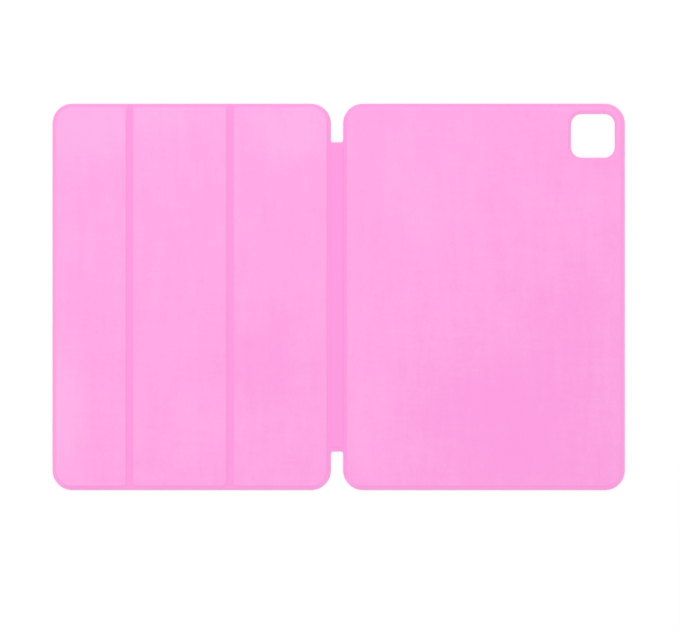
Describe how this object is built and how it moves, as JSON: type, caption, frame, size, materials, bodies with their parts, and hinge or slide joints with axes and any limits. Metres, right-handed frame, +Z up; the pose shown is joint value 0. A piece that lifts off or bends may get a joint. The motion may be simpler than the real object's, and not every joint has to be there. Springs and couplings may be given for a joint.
{
  "type": "tablet folio cover",
  "caption": "Magnetic folio for a tablet, lying open with its lining up: a grooved folding cover, a narrow spine and a back panel with a rounded camera window.",
  "frame": {"origin": "under the middle of the open folio, on the surface that it lies on", "axes": "+X from the cover's free edge across the spine to the back panel, +Y along the spine towards the end with the camera window, +Z up out of the lining"},
  "size_m": [0.3684, 0.2486, 0.0023],
  "materials": {
    "outer_skin": "fine-grained synthetic leather, satin, pink",
    "lining": "brushed microfibre, matt, light pink, pressed smoother and deeper in colour at rims and grooves",
    "board": "grey-brown stiff sheet",
    "stiffener": "milky plastic film",
    "magnet": "nickel-plated block magnet",
    "catch_strip": "thin rolled steel strip"
  },
  "bodies": {
    "back_panel": {"back_outer_skin": "outer_skin", "back_board": "board", "back_lining": "lining", "holding_magnet_spine_side_1": "magnet", "holding_magnet_spine_side_2": "magnet", "holding_magnet_spine_side_3": "magnet", "holding_magnet_spine_side_4": "magnet", "holding_magnet_camera_side_1": "magnet", "holding_magnet_camera_side_2": "magnet", "holding_magnet_camera_side_3": "magnet", "holding_magnet_camera_side_4": "magnet"},
    "spine": {"spine_outer_skin": "outer_skin", "spine_stiffener": "stiffener", "spine_lining": "lining"},
    "inner_panel": {"inner_panel_skin": "outer_skin", "inner_panel_board": "board", "inner_panel_lining": "lining", "stand_catch_strip_1": "catch_strip", "stand_catch_strip_2": "catch_strip"},
    "inner_fold": {"inner_fold_skin": "outer_skin", "inner_fold_lining": "lining"},
    "middle_panel": {"middle_panel_skin": "outer_skin", "middle_panel_board": "board", "middle_panel_lining": "lining"},
    "outer_fold": {"outer_fold_skin": "outer_skin", "outer_fold_lining": "lining"},
    "outer_panel": {"outer_panel_skin": "outer_skin", "outer_panel_board": "board", "outer_panel_lining": "lining", "closing_magnet_1": "magnet", "closing_magnet_2": "magnet", "closing_magnet_3": "magnet", "closing_magnet_4": "magnet", "wake_magnet": "magnet"}
  },
  "joints": [
    {"name": "spine_to_back", "type": "hinge", "parent": "back_panel", "child": "spine", "pos_m": [0.00405, 0, 0.00058], "axis": [0, 1, 0], "range_deg": [-90, 90]},
    {"name": "cover_to_spine", "type": "hinge", "parent": "spine", "child": "inner_panel", "pos_m": [-0.00615, 0, 0.00058], "axis": [0, 1, 0], "range_deg": [-90, 90]},
    {"name": "inner_fold_near", "type": "hinge", "parent": "inner_panel", "child": "inner_fold", "pos_m": [-0.06835, 0, 0.00058], "axis": [0, -1, 0], "range_deg": [-66.5, 0]},
    {"name": "inner_fold_far", "type": "hinge", "parent": "inner_fold", "child": "middle_panel", "pos_m": [-0.07145, 0, 0.00058], "axis": [0, -1, 0], "range_deg": [-66.5, 0]},
    {"name": "outer_fold_near", "type": "hinge", "parent": "middle_panel", "child": "outer_fold", "pos_m": [-0.13315, 0, 0.00058], "axis": [0, -1, 0], "range_deg": [-57.5, 0]},
    {"name": "outer_fold_far", "type": "hinge", "parent": "outer_fold", "child": "outer_panel", "pos_m": [-0.13605, 0, 0.00058], "axis": [0, -1, 0], "range_deg": [-57.5, 0]}
  ]
}
